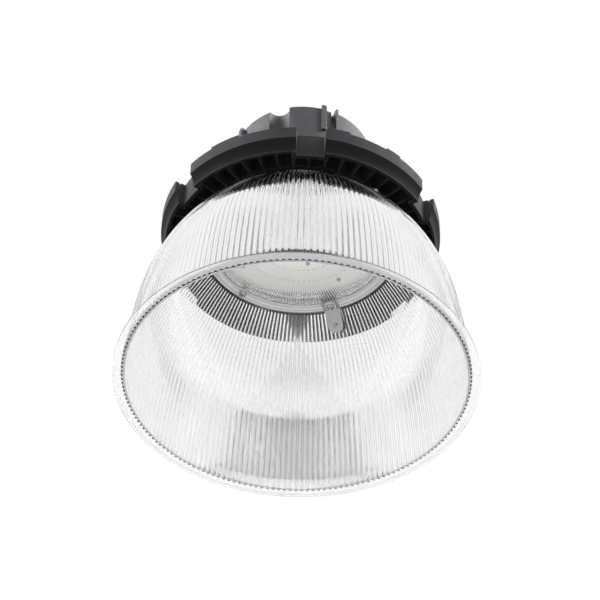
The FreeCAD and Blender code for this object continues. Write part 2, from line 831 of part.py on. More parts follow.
def make_clips(cover_low):
    """Bent stainless tabs: a leg under the clear cover and a rounded tab on the bell's wall."""
    out, up = wall_normal()
    half = clip_width.value / 2
    outer = inner_face_distance() - clip_wall_gap.value
    inner = outer - clip_sheet.value
    leg_top = cover_low.value
    leg_low = leg_top - clip_sheet.value
    end_outer = wall_point(outer)
    end_inner = wall_point(inner)
    drop = (up * half, -out * half)
    corners = [
        (clip_leg_start.value, leg_top),
        (face_point(outer, leg_top), leg_top),
        (end_outer[0] + drop[0], end_outer[1] + drop[1]),
        (end_inner[0] + drop[0], end_inner[1] + drop[1]),
        (face_point(inner, leg_low), leg_low),
        (clip_leg_start.value, leg_low),
    ]
    points = [vector(radius, -half, height) for radius, height in corners]
    points.append(points[0])
    strip = Part.Face(Part.makePolygon(points)).extrude(vector(0, clip_width.value, 0))

    # The tab's end is round about its screw: what lies outside the round is cut away.
    axis = vector(out, 0, up)
    radius, height = wall_point(inner - 2)
    centre = vector(radius, 0, height)
    depth = clip_sheet.value + 4
    lower_half = Part.makeBox(clip_width.value, clip_width.value + 2, depth,
                              vector(0, -half - 1, 0))
    round_end = Part.makeCylinder(half, depth)
    waste = lower_half.cut(round_end)
    waste.Placement = FreeCAD.Placement(centre, FreeCAD.Rotation(vector(0, 0, 1), axis))
    strip = strip.cut(waste)

    screw_hole = Part.makeCylinder(cover_shank_radius.value + hole_clearance.value * 2,
                                   clip_sheet.value + 2,
                                   vector(cover_screw_circle.value, 0, leg_low - 1))
    strip = strip.cut(screw_hole)
    wall_hole = wall_cylinder(wall_shank_radius.value + hole_clearance.value,
                              inner - 2, outer + 2, 0)
    strip = strip.cut(wall_hole)
    for index, angle in enumerate(clip_angles()):
        name = f"reflector_clip_{index + 1}"
        node = document.addObject("Part::Feature", name)
        node.Shape = strip
        node.Placement = FreeCAD.Placement(vector(0, 0, 0),
                                           FreeCAD.Rotation(vector(0, 0, 1), angle))
        keep(name, node)
    return inner


def make_wall_fasteners(tab_face):
    """Small screws through each tab and the bell's wall, and their nuts outside."""
    half_chord = bell.arc_angle(bell_height.value) - bell.arc_angle(clip_screw_height.value)
    seat = bell.arc_radius * math.cos(half_chord)
    screws = []
    nuts = []
    for angle in clip_angles():
        head = wall_cylinder(wall_head_radius.value, tab_face - wall_head_height.value,
                             tab_face, angle)
        shank = wall_cylinder(wall_shank_radius.value, tab_face,
                              seat + wall_nut_height.value + 1, angle)
        screws.append(head.fuse(shank).removeSplitter())
        nut = wall_cylinder(wall_nut_radius.value, seat, seat + wall_nut_height.value, angle)
        bore = wall_cylinder(wall_shank_radius.value, seat - 1,
                             seat + wall_nut_height.value + 1, angle)
        nuts.append(nut.cut(bore))
    for name, pieces in (("wall_screws", screws), ("wall_nuts", nuts)):
        node = document.addObject("Part::Feature", name)
        node.Shape = Part.makeCompound(pieces)
        keep(name, node)


# ---------------------------------------------------------------- driver housing

def make_housing():
    """Die-cast cup, open below, with three hollows, three rib groups and two bolt towers."""
    body = new_body("driver_housing")
    plan = circles(body, "housing_plan", "XY_Plane", [(ZERO, ZERO, housing_radius)], housing_bottom)
    cup = pad(body, plan, "housing_block", housing_top - housing_bottom)
    document.recompute()
    edge = body.newObject("PartDesign::Fillet", "housing_top_edge")
    edge.Base = (cup, [name_of_edge(cup.Shape, housing_top.value)])
    bind(edge, "Radius", housing_edge)
    body.Tip = edge

    # Bolt towers that stand on the casting's feet.
    tower = (platform_top, tower_top, tower_radius, None)
    add_discs(body, "tower", [tower], tower_circle, tower_angle, tower_count)

    # Boss under the eye bolt.
    plan = circles(body, "boss_plan", "XY_Plane", [(ZERO, ZERO, boss_radius)], housing_top - 1)
    pad(body, plan, "eye_boss", boss_height + 1)

    # Round hollows down the wall.
    bore_ring(body, "hollow", groove_circle, groove_angle, groove_radius,
              housing_top + 1, housing_top - housing_bottom + 2, feature_count)

    # A set-back field with two upright ribs and a slot beside the second.
    plan = sector(body, "field_plan", housing_radius - rib_zone_depth, housing_radius + 3,
                  rib_zone_start, rib_zone_end, housing_top + 1)
    field = pocket(body, plan, "field", housing_top - rib_zone_bottom + 1)
    repeat(body, field, "fields", feature_count, plan)
    for index, (offset, width) in enumerate(((first_rib_angle, first_rib_width),
                                             (second_rib_angle, second_rib_width))):
        start = rib_zone_start + offset
        plan = sector(body, f"rib_plan_{index}", housing_radius - rib_zone_depth - 1,
                      housing_radius + rib_reach, start, start + width,
                      rib_zone_bottom - 4)
        rib = pad(body, plan, f"rib_{index}", rib_top - rib_zone_bottom + 4)
        repeat(body, rib, f"ribs_{index}", feature_count, plan)
    start = rib_zone_start + slot_angle
    plan = sector(body, "slot_plan", housing_radius - slot_depth, housing_radius + 3,
                  start, start + slot_width, rib_top)
    slot = pocket(body, plan, "slot", rib_top - slot_bottom)
    repeat(body, slot, "slots", feature_count, plan)

    # The space inside, kept clear of the hollows and the slots.
    plan = circles(body, "cavity_plan", "XY_Plane", [(ZERO, ZERO, cavity_radius)],
                   housing_top - housing_roof)
    pocket(body, plan, "cavity", housing_top - housing_roof - housing_bottom + 1)

    # Long bores down the towers, and holes for the eye bolt, the gland and the vent.
    bore_ring(body, "tower_bore", tower_circle, tower_angle, bolt_shank_radius + hole_clearance,
              tower_top, tower_top - platform_top + 1, tower_count)
    plan = circles(body, "roof_hole_plan", "XY_Plane", [
        (ZERO, ZERO, eye_shank_radius + hole_clearance),
        (ZERO, inlet_circle, gland_thread_radius + hole_clearance),
        (inlet_circle, ZERO, vent_thread_radius + hole_clearance),
    ], housing_top + boss_height + 1)
    pocket(body, plan, "roof_holes", housing_roof + boss_height + 2)
    return keep("driver_housing", body)


def name_of_edge(shape, height):
    """Name of the round edge that lies at a height."""
    for index, edge in enumerate(shape.Edges):
        box = edge.BoundBox
        if abs(box.ZMin - height) < 1e-6 and abs(box.ZMax - height) < 1e-6:
            return f"Edge{index + 1}"
    raise RuntimeError(f"no edge at {height}")


def make_housing_fasteners():
    gasket = turned("housing_gasket", ring_corners(cavity_radius, housing_radius - 1,
                                                   platform_top, housing_bottom))
    keep("housing_gasket", gasket)
    bolts = turned_at("housing_bolts", [
        (tower_top, tower_top + bolt_head_height, bolt_head_radius, None),
        (plate_bottom + 2, tower_top, bolt_shank_radius, None),
    ], tower_circle, tower_angle, tower_count)
    keep("housing_bolts", bolts)


# ---------------------------------------------------------------- driver and wires

def make_driver():
    """Sealed round driver standing on the casting, with its leads down to the board."""
    base = platform_top
    driver = turned("driver_module", [
        (ZERO, base),
        (driver_lug_radius, base),
        (driver_lug_radius, base + driver_lug_height),
        (driver_radius, base + driver_lug_height),
        (driver_radius, base + driver_height),
        (ZERO, base + driver_height),
    ])
    keep("driver_module", driver)

    grommet = turned("lead_grommet", ring_corners(wire_offset * 2, wire_hole_radius,
                                                  recess_floor, platform_top))
    keep("lead_grommet", grommet)
    leads = new_body("output_leads")
    plan = circles(leads, "lead_plan", "XY_Plane", [
        (wire_offset, ZERO, wire_radius),
        (-wire_offset, ZERO, wire_radius),
    ], board_front())
    pad(leads, plan, "lead", platform_top - board_front())
    keep("output_leads", leads)
    terminal = new_body("board_terminal")
    across = terminal_length / 2
    along = terminal_width / 2
    plan = outline(terminal, "terminal_plan", "XY_Plane", [
        (-across, -along), (across, -along), (across, along), (-across, along),
    ], board_front() - terminal_height)
    pad(terminal, plan, "terminal_block", terminal_height)
    keep("board_terminal", terminal)


# ---------------------------------------------------------------- suspension and inlet

def make_suspension():
    """Fixed eye bolt through the housing's roof."""
    washer_low = housing_top + boss_height
    washer_high = washer_low + eye_washer_height
    washer = turned("eye_washer", ring_corners(eye_shank_radius + hole_clearance,
                                               eye_washer_radius, washer_low, washer_high))
    keep("eye_washer", washer)

    collar_top = washer_high + eye_collar_height
    nut_high = housing_top - housing_roof
    nut_low = nut_high - eye_nut_height
    eye = turned("eye_bolt", [
        (ZERO, nut_low - 2),
        (eye_shank_radius, nut_low - 2),
        (eye_shank_radius, washer_high),
        (eye_collar_radius, washer_high),
        (eye_collar_radius, collar_top - 2),
        (eye_collar_radius - 4, collar_top + 2),
        (ZERO, collar_top + 2),
    ])
    middle = collar_top + eye_outer_radius - 3
    ring = circles(eye, "eye_plan", "XZ_Plane", [
        (ZERO, middle, eye_outer_radius),
        (ZERO, middle, eye_hole_radius),
    ])
    loop = pad(eye, ring, "eye_loop", eye_thickness, both_ways=True)
    document.recompute()
    rims = []
    for index, edge in enumerate(loop.Shape.Edges):
        curve = edge.Curve
        if isinstance(curve, Part.Circle) and abs(abs(curve.Axis.y) - 1) < 1e-6:
            rims.append(f"Edge{index + 1}")
    softened = eye.newObject("PartDesign::Chamfer", "eye_edges")
    softened.Base = (loop, rims)
    bind(softened, "Size", eye_chamfer)
    eye.Tip = softened
    keep("eye_bolt", eye)

    nut = new_body("eye_nut")
    plan = outline(nut, "eye_nut_plan", "XY_Plane", hexagon(eye_nut_across), nut_low)
    pad(nut, plan, "eye_nut_block", eye_nut_height)
    bore = circles(nut, "eye_nut_bore_plan", "XY_Plane", [(ZERO, ZERO, eye_shank_radius)], nut_high)
    pocket(nut, bore, "eye_nut_bore", eye_nut_height + 1)
    keep("eye_nut", nut)


def make_gland():
    """Cord inlet: a bored body through the roof, its locknut, a rubber seal and a dome cap."""
    roof = housing_top
    inside = housing_top - housing_roof
    hex_top = roof + gland_hex_height
    neck_top = hex_top + gland_neck_height
    tail = inside - gland_nut_height - 1
    body = new_body("gland_body")
    plan = outline(body, "gland_hexagon", "XY_Plane", hexagon(gland_across), roof)
    pad(body, plan, "gland_flange", gland_hex_height)
    plan = circles(body, "gland_thread_plan", "XY_Plane", [(ZERO, ZERO, gland_thread_radius)], tail)
    pad(body, plan, "gland_thread", roof - tail)
    plan = circles(body, "gland_neck_plan", "XY_Plane", [(ZERO, ZERO, gland_neck_radius)], hex_top)
    pad(body, plan, "gland_neck", gland_neck_height)
    plan = circles(body, "gland_bore_plan", "XY_Plane", [(ZERO, ZERO, gland_seal_radius)], neck_top)
    pocket(body, plan, "gland_bore", neck_top - tail + 1)
    place(body, y=inlet_circle)
    keep("gland_body", body)

    seal_top = neck_top + 4
    seal = turned("gland_seal", ring_corners(gland_bore_radius, gland_seal_radius,
                                             seal_top - gland_seal_height, seal_top))
    place(seal, y=inlet_circle)
    keep("gland_seal", seal)

    cap_low = hex_top + 0.5
    cap_top = cap_low + gland_cap_height
    dome_low = cap_top - gland_dome_height
    reach = gland_neck_radius + gland_cap_wall
    dome_top_radius = gland_bore_radius + 3
    cap = turned("gland_cap", [
        (gland_neck_radius, cap_low),
        (reach, cap_low),
        (reach, dome_low),
        (dome_top_radius, cap_top),
        (gland_bore_radius + 1, cap_top),
        (gland_bore_radius + 1, seal_top),
        (gland_neck_radius, seal_top),
    ])
    bore_ring(cap, "grip", reach + grip_radius / 3, ZERO, grip_radius,
              dome_low - 1, dome_low - cap_low, grip_count)
    place(cap, y=inlet_circle)
    keep("gland_cap", cap)

    nut = new_body("gland_locknut")
    plan = outline(nut, "locknut_plan", "XY_Plane", hexagon(gland_across), inside - gland_nut_height)
    pad(nut, plan, "locknut_block", gland_nut_height)
    plan = circles(nut, "locknut_bore_plan", "XY_Plane", [(ZERO, ZERO, gland_thread_radius)], inside)
    pocket(nut, plan, "locknut_bore", gland_nut_height + 1)
    place(nut, y=inlet_circle)
    keep("gland_locknut", nut)


def make_vent():
    """Screw-in breather that lets the housing's air out and keeps water out."""
    roof = housing_top
    vent = turned("breather_vent", [
        (ZERO, roof - housing_roof),
        (vent_thread_radius, roof - housing_roof),
        (vent_thread_radius, roof),
        (vent_radius, roof),
        (vent_radius, roof + vent_height - 2),
        (vent_radius - 2, roof + vent_height),
        (ZERO, roof + vent_height),
    ])
    place(vent, x=inlet_circle)
    keep("breather_vent", vent)


# ---------------------------------------------------------------- assembly and export

def check_document():
    """Stop if any object failed, or if a node is empty or broken."""
    for item in document.Objects:
        if "Invalid" in item.State or "Error" in item.State:
            raise RuntimeError(f"{item.Name} failed: {item.State}")
    for name, item in nodes.items():
        if item.Shape.isNull() or not item.Shape.isValid() or not item.Shape.Solids:
            raise RuntimeError(f"{name} has no sound shape")


make_heat_sink()
make_board()
make_led_packages()
cover_underside = make_cover()
make_cover_screws(cover_underside)
make_reflector()
tab_inner_face = make_clips(cover_underside)
make_wall_fasteners(tab_inner_face)
make_housing()
make_housing_fasteners()
make_driver()
make_suspension()
make_gland()
make_vent()
document.recompute()
check_document()
os.makedirs("parts", exist_ok=True)
for node_name, node_object in nodes.items():
    node_object.Shape.exportStep(f"parts/{node_name}.step")
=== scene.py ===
import json
import math

import bmesh
import bpy
from mathutils import Matrix, Vector


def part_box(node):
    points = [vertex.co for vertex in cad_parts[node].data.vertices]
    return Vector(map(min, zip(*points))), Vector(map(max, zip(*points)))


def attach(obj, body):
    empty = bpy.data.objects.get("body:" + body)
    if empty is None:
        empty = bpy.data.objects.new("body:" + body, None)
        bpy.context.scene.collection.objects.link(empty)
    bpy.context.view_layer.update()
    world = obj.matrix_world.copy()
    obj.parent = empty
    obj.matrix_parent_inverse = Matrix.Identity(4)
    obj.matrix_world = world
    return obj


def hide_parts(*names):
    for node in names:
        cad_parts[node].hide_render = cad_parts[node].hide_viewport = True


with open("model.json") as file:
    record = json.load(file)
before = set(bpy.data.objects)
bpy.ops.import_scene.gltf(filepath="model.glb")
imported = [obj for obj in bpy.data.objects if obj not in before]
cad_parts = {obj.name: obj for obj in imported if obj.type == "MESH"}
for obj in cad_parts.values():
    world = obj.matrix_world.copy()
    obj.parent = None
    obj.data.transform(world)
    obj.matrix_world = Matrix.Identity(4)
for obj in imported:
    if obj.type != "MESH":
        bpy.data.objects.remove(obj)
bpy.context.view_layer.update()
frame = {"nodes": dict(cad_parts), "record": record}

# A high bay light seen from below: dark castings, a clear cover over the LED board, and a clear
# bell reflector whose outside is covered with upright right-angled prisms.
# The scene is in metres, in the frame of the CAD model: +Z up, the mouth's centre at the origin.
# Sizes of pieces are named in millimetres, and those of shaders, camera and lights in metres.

MM = 0.001
NODES = frame["nodes"]

# Sizes that several pieces share, in millimetres and degrees.
PRISMS = 180
COVER_LOW = 222.0
COVER_TOP = 225.0
COVER_WASHER = 1
BOARD_FACE = 234.0
SCREW_CIRCLE = 111
COVER_SCREW_ANGLE = 6
CLIP_ANGLE = 66
CLIP_SHEET = 1.5
LED_ROWS = (33, 55, 77, 99)
LED_PITCH = 6.5


# ---------------------------------------------------------------- materials

class Shader:
    """A Principled material with short ways to add procedural detail."""

    # The Mix node has sockets of one name for each type; these are the colours' numbers.
    FIRST_COLOR, SECOND_COLOR, MIXED_COLOR = 6, 7, 2

    def __init__(self, name, color, roughness, metallic=0.0, **constants):
        self.material = bpy.data.materials.new(name)
        self.material.use_nodes = True
        self.tree = self.material.node_tree
        self.surface = self.tree.nodes["Principled BSDF"]
        self.set("Base Color", (*color, 1))
        self.set("Roughness", roughness)
        self.set("Metallic", metallic)
        for socket, value in constants.items():
            self.set(socket.replace("_", " "), value)
        self.place = self.add("ShaderNodeTexCoord").outputs["Object"]

    def set(self, socket, value):
        self.surface.inputs[socket].default_value = value

    def add(self, kind, **settings):
        node = self.tree.nodes.new(kind)
        for key, value in settings.items():
            setattr(node, key, value)
        return node

    def link(self, output, target):
        self.tree.links.new(output, target)

    def math(self, operation, first, second=None, third=None):
        """A Math node on sockets or numbers."""
        node = self.add("ShaderNodeMath", operation=operation)
        for index, item in enumerate((first, second, third)):
            if item is None:
                continue
            if isinstance(item, (int, float)):
                node.inputs[index].default_value = item
            else:
                self.link(item, node.inputs[index])
        return node.outputs[0]

    def noise(self, scale, detail=3.0, stretch=(1, 1, 1)):
        """Noise in the object's own space; a small stretch value gives long streaks."""
        mapping = self.add("ShaderNodeMapping")
        mapping.inputs["Scale"].default_value = stretch
        self.link(self.place, mapping.inputs["Vector"])
        texture = self.add("ShaderNodeTexNoise")
        texture.inputs["Scale"].default_value = scale
        texture.inputs["Detail"].default_value = detail
        self.link(mapping.outputs["Vector"], texture.inputs["Vector"])
        return texture.outputs["Fac"]

    def span(self, value, low, high, start=0.3, end=0.7):
        """Map a value's start and end to low and high; noise lies mostly from 0.3 to 0.7."""
        node = self.add("ShaderNodeMapRange")
        node.inputs["From Min"].default_value = start
        node.inputs["From Max"].default_value = end
        node.inputs["To Min"].default_value = low
        node.inputs["To Max"].default_value = high
        self.link(value, node.inputs["Value"])
        return node.outputs["Result"]

    def mix_color(self, factor, first, second):
        """A mix of two colours, each a tuple or a socket."""
        node = self.add("ShaderNodeMix", data_type="RGBA")
        self.link(factor, node.inputs["Factor"])
        for socket, color in ((self.FIRST_COLOR, first), (self.SECOND_COLOR, second)):
            if isinstance(color, tuple):
                node.inputs[socket].default_value = (*color, 1)
            else:
                self.link(color, node.inputs[socket])
        return node.outputs[self.MIXED_COLOR]

    def tint(self, color):
        self.link(color, self.surface.inputs["Base Color"])

    def gloss(self, roughness):
        self.link(roughness, self.surface.inputs["Roughness"])

    def bump(self, height, distance, strength, normal=None):
        node = self.add("ShaderNodeBump")
        if normal is not None:
            self.link(normal, node.inputs["Normal"])
        node.inputs["Distance"].default_value = distance
        node.inputs["Strength"].default_value = strength
        self.link(height, node.inputs["Height"])
        self.link(node.outputs["Normal"], self.surface.inputs["Normal"])


CAST_EDGE_RADIUS = 0.0009
# The paler tone painted along cast edges as a highlight.
EDGE_HIGHLIGHT_TONE = (0.16, 0.162, 0.165)


def powder_coat(name, shaded_copy, lit_copy, roughness):
    """Satin powder coat on a casting: orange peel, softened edges, and painted light and shade:
    faces that look up or aside are painted paler than the dark undersides.
    """
    coat = Shader(name, shaded_copy, roughness, Specular_IOR_Level=0.1)
    soft = coat.add("ShaderNodeBevel", samples=4)
    soft.inputs["Radius"].default_value = CAST_EDGE_RADIUS
    facing = coat.add("ShaderNodeSeparateXYZ")
    coat.link(soft.outputs["Normal"], facing.inputs[0])
    # Painted shade and light: undersides keep the dark shaded colour, and faces that look up or
    # aside get the paler lit colour, varying a little at random.
    facing_light = coat.span(facing.outputs["Z"], 0, 1, start=-0.14, end=0.1)
    painted_light_share = coat.math("MULTIPLY", facing_light, coat.span(coat.noise(35, 4), 0.75, 1.1))
    # Painted highlight: the coat is painted paler where two faces meet, standing in for light
    # glinting off the cast edges.
    face = coat.add("ShaderNodeNewGeometry").outputs["Normal"]
    bend = coat.add("ShaderNodeVectorMath", operation="DOT_PRODUCT")
    coat.link(soft.outputs["Normal"], bend.inputs[0])
    coat.link(face, bend.inputs[1])
    edge = coat.span(bend.outputs["Value"], 0.45, 0, start=0.8, end=0.99)
    # The painted light and shade, with the painted edge highlight over it, give the coat's colour.
    coat.tint(coat.mix_color(edge, coat.mix_color(painted_light_share, shaded_copy, lit_copy), EDGE_HIGHLIGHT_TONE))
    coat.gloss(coat.span(coat.noise(240, 2), roughness - 0.05, roughness + 0.06))
    coat.bump(coat.noise(900, 2), 0.00012, 0.5, soft.outputs["Normal"])
    return coat.material


POLYCARBONATE_IOR = 1.585
CLEAR_ROUGHNESS = 0.012
CAUGHT_DEPTH = 10.5
# The glow painted on the plastic where a path has bounced too often.
LATE_BOUNCE_GLOW = (0.8, 0.8, 0.8, 1)
SHADOW_LET_BY = 0.85


def clear_plastic(name, color, clearness, lets_light_by=False):
    """Clear moulded polycarbonate with a faint flow of the melt in its skin."""
    clear = Shader(name, color, CLEAR_ROUGHNESS, Transmission_Weight=1.0, IOR=POLYCARBONATE_IOR)
    flow = clear.noise(60, 2, (1, 1, 0.2))
    clear.gloss(clear.span(flow, CLEAR_ROUGHNESS * 0.7, CLEAR_ROUGHNESS * 1.4))
    clear.bump(flow, 0.0001, 0.3)
    # Light that is still caught among the prisms after many bounces would be lost as black, so past
    # that depth the plastic glows pale grey instead: painted light.
    path = clear.add("ShaderNodeLightPath")
    late = clear.math("GREATER_THAN", path.outputs["Ray Depth"], CAUGHT_DEPTH)
    clear.set("Emission Color", LATE_BOUNCE_GLOW)
    clear.link(late, clear.surface.inputs["Emission Strength"])
    clear.link(clearness(clear), clear.surface.inputs["Transmission Weight"])
    if lets_light_by:
        alpha = clear.math("MULTIPLY_ADD", path.outputs["Is Shadow Ray"], -SHADOW_LET_BY, 1.0)
        clear.link(alpha, clear.surface.inputs["Alpha"])
    return clear.material


def polar(shader):
    """Radius, turn in radians and height of the shaded point, in metres."""
    parts = shader.add("ShaderNodeSeparateXYZ")
    shader.link(shader.place, parts.inputs[0])
    across, along, height = parts.outputs
    squares = shader.math("ADD", shader.math("POWER", across, 2), shader.math("POWER", along, 2))
    return shader.math("SQRT", squares), shader.math("ARCTAN2", along, across), height


def prism_wave(shader, turn):
    """0 on each prism's ridge and 0.5 in each valley."""
    return shader.math("PINGPONG", shader.math("MULTIPLY", turn, PRISMS / (2 * math.pi)), 0.5)


BELL_TINT = (0.90, 0.903, 0.907)
FLANGE_TINT = (0.70, 0.703, 0.708)
# Places on the bell, and how much of the light its frost and its haze keep from passing.
FLANGE_START = 0.2010
FLANGE_TEETH = 0.0054
FLANGE_TOP = 0.0012
LIP_RADIUS = 0.1981
FLANGE_FROST = 0.33
MOUTH_HAZE = 0.62
HAZE_HEIGHTS = (0.08, 0.18)


def flange_mask(shader, radius, height, tooth):
    """1 on the underside of the flange and of the lip, between which the prisms' feet show."""
    edge = shader.math("MULTIPLY_ADD", tooth, -FLANGE_TEETH, FLANGE_START)
    outside = shader.math("GREATER_THAN", radius, edge)
    lip = shader.math("LESS_THAN", radius, LIP_RADIUS)
    low = shader.math("LESS_THAN", height, FLANGE_TOP)
    return shader.math("MULTIPLY", shader.math("MAXIMUM", outside, lip), low)


def inside_mask(shader):
    """1 where a ray meets the bell's inner face from the air."""
    surface = shader.add("ShaderNodeNewGeometry")
    outward = shader.add("ShaderNodeVectorMath", operation="DOT_PRODUCT")
    shader.link(shader.place, outward.inputs[0])
    shader.link(surface.outputs["Normal"], outward.inputs[1])
    inside = shader.math("LESS_THAN", outward.outputs["Value"], -0.05)
    front = shader.math("SUBTRACT", 1, surface.outputs["Backfacing"])
    return shader.math("MULTIPLY", inside, front)


def bell_clearness(shader):
    """Clear prisms, a hazy inner face that clears upwards, and a frosted flange."""
    radius, turn, height = polar(shader)
    tooth = prism_wave(shader, turn)
    flange = flange_mask(shader, radius, height, tooth)
    fading = shader.span(height, MOUTH_HAZE, 0.0, *HAZE_HEIGHTS)
    fading = shader.math("MULTIPLY", inside_mask(shader), fading)
    haze = shader.math("MULTIPLY", fading, shader.math("MULTIPLY_ADD", tooth, 1.1, 0.4))
    frost = shader.math("MAXIMUM", shader.math("MULTIPLY", flange, FLANGE_FROST), haze)
    shader.tint(shader.mix_color(flange, BELL_TINT, FLANGE_TINT))
    return shader.math("SUBTRACT", 1, frost)


COVER_TINT = (0.975, 0.978, 0.98)
SKIRT_START = 0.2254


def cover_clearness(shader):
    """The cover's plate is clear; its upright ribbed skirt is frosted in fine streaks."""
    turn, height = polar(shader)[1:]
    skirt = shader.math("GREATER_THAN", height, SKIRT_START)
    streaks = shader.math("MULTIPLY_ADD", prism_wave(shader, turn), 0.6, -0.7)
    return shader.math("MULTIPLY_ADD", skirt, streaks, 1.0)


def metal(name, dark, light, roughness, grain, stretch, depth):
    """Metal with a grain: streaks in its colour, roughness and surface."""
    made = Shader(name, dark, roughness, metallic=1.0)
    streak = made.noise(grain, 3, stretch)
    made.tint(made.mix_color(made.span(streak, 0, 1), dark, light))
    made.gloss(made.span(streak, roughness - 0.06, roughness + 0.08))
    made.bump(streak, depth, 0.6)
    return made.material


def moulded(name, dark, light, roughness):
    """Moulded plastic or rubber: a fine texture and a little unevenness."""
    made = Shader(name, dark, roughness)
    made.tint(made.mix_color(made.span(made.noise(50, 3), 0, 1), dark, light))
    made.gloss(made.span(made.noise(300, 2), roughness - 0.05, roughness + 0.05))
    made.bump(made.noise(700, 2), 0.00008, 0.5)
    return made.material


RESIST = (0.95, 0.95, 0.93)
RESIST_OVER_COPPER = (0.93, 0.91, 0.84)
TRACK_HALF_WIDTH = 0.0007


def board_white(name):
    """White solder resist; the copper under it shows as faint rings along the LED rows."""
    board = Shader(name, RESIST, 0.35)
    radius = polar(board)[0]
    track = None
    for row in LED_ROWS:
        near = board.math("COMPARE", radius, row * MM, TRACK_HALF_WIDTH)
        track = near if track is None else board.math("MAXIMUM", track, near)
    board.tint(board.mix_color(track, RESIST, RESIST_OVER_COPPER))
    board.bump(board.math("ADD", track, board.noise(500, 2)), 0.00003, 0.5)
    return board.material


FIRST_LIP = 0.107
LIP_PITCH = 0.004


def lipped_silicone(name, dark, light):
    """A soft grey seal with round lips, their edges catching the light."""
    seal = Shader(name, dark, 0.6)
    past_first = seal.math("SUBTRACT", polar(seal)[0], FIRST_LIP)
    lip = seal.math("PINGPONG", seal.math("DIVIDE", past_first, LIP_PITCH), 0.5)
    crest = seal.span(lip, 1, 0, start=0.1, end=0.28)
    seal.tint(seal.mix_color(crest, dark, light))
    seal.bump(seal.math("MULTIPLY_ADD", crest, 4, seal.noise(700, 2)), 0.0001, 0.5)
    return seal.material


EVEN = (1, 1, 1)
BRUSHED = (1, 1, 0.06)

# Each of the record's material slots: what makes its finish, and with what.
FINISHES = {
    # A powder coat takes the shaded colour painted on undersides, the lit colour painted on faces
    # that look up or aside, and a roughness.
    "sink_paint": (powder_coat, (0.006, 0.0063, 0.0068), (0.040, 0.041, 0.043), 0.55),
    "housing_paint": (powder_coat, (0.014, 0.0145, 0.015), (0.092, 0.094, 0.098), 0.5),
    "clear_polycarbonate": (clear_plastic, BELL_TINT, bell_clearness),
    "stainless_sheet": (metal, (0.38, 0.375, 0.37), (0.48, 0.475, 0.47), 0.32,
                        900, BRUSHED, 0.00003),
    "bright_steel": (metal, (0.32, 0.32, 0.325), (0.46, 0.46, 0.465), 0.26,
                     500, EVEN, 0.00002),
    "zinc_steel": (metal, (0.26, 0.27, 0.285), (0.40, 0.41, 0.42), 0.4,
                   160, EVEN, 0.00006),
    "white_board": (board_white,),
    "phosphor": (moulded, (0.74, 0.46, 0.05), (0.84, 0.58, 0.12), 0.35),
    "black_rubber": (moulded, (0.018, 0.018, 0.018), (0.03, 0.03, 0.03), 0.7),
    "grey_silicone": (lipped_silicone, (0.58, 0.58, 0.585), (0.95, 0.95, 0.95)),
    "black_nylon": (moulded, (0.022, 0.022, 0.024), (0.034, 0.034, 0.036), 0.48),
    "driver_case": (moulded, (0.70, 0.70, 0.68), (0.78, 0.78, 0.76), 0.5),
    "lead_sleeve": (moulded, (0.42, 0.03, 0.02), (0.52, 0.05, 0.03), 0.5),
    "terminal_body": (moulded, (0.80, 0.80, 0.78), (0.88, 0.88, 0.86), 0.4),
}
PAINTS = {slot: make(slot, *details) for slot, (make, *details) in FINISHES.items()}
COVER_CLEAR = clear_plastic("cover_clear", COVER_TINT, cover_clearness, lets_light_by=True)
WASHER_STEEL = metal("washer_steel", (0.78, 0.78, 0.785), (0.90, 0.90, 0.905), 0.36,
                     500, EVEN, 0.00002)
PACKAGE_WHITE = moulded("package_white", (0.86, 0.85, 0.80), (0.92, 0.91, 0.87), 0.4)


def paint(piece, slot):
    piece.data.materials.clear()
    piece.data.materials.append(PAINTS[slot])


for part in frame["record"]["subparts"]:
    paint(NODES[part["node"]], part["material_slot"])


# ---------------------------------------------------------------- mesh helpers

SHARP_ANGLE = math.radians(40)


def mesh_piece(name, slot, vertices, faces, sharp=()):
    """A closed mesh that rides with the lamp; sharp holds pairs of vertex numbers."""
    data = bpy.data.meshes.new(name)
    data.from_pydata(vertices, [], faces)
    piece = bpy.data.objects.new(name, data)
    bpy.context.scene.collection.objects.link(piece)
    shaper = bmesh.new()
    shaper.from_mesh(data)
    bmesh.ops.recalc_face_normals(shaper, faces=shaper.faces)
    for face in shaper.faces:
        face.smooth = True
    pairs = set(sharp)
    for edge in shaper.edges:
        ends = tuple(sorted(vertex.index for vertex in edge.verts))
        if ends in pairs or edge.calc_face_angle(0) > SHARP_ANGLE:
            edge.smooth = False
    shaper.to_mesh(data)
    shaper.free()
    paint(piece, slot)
    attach(piece, "root")
    return piece


# ---------------------------------------------------------------- reflector

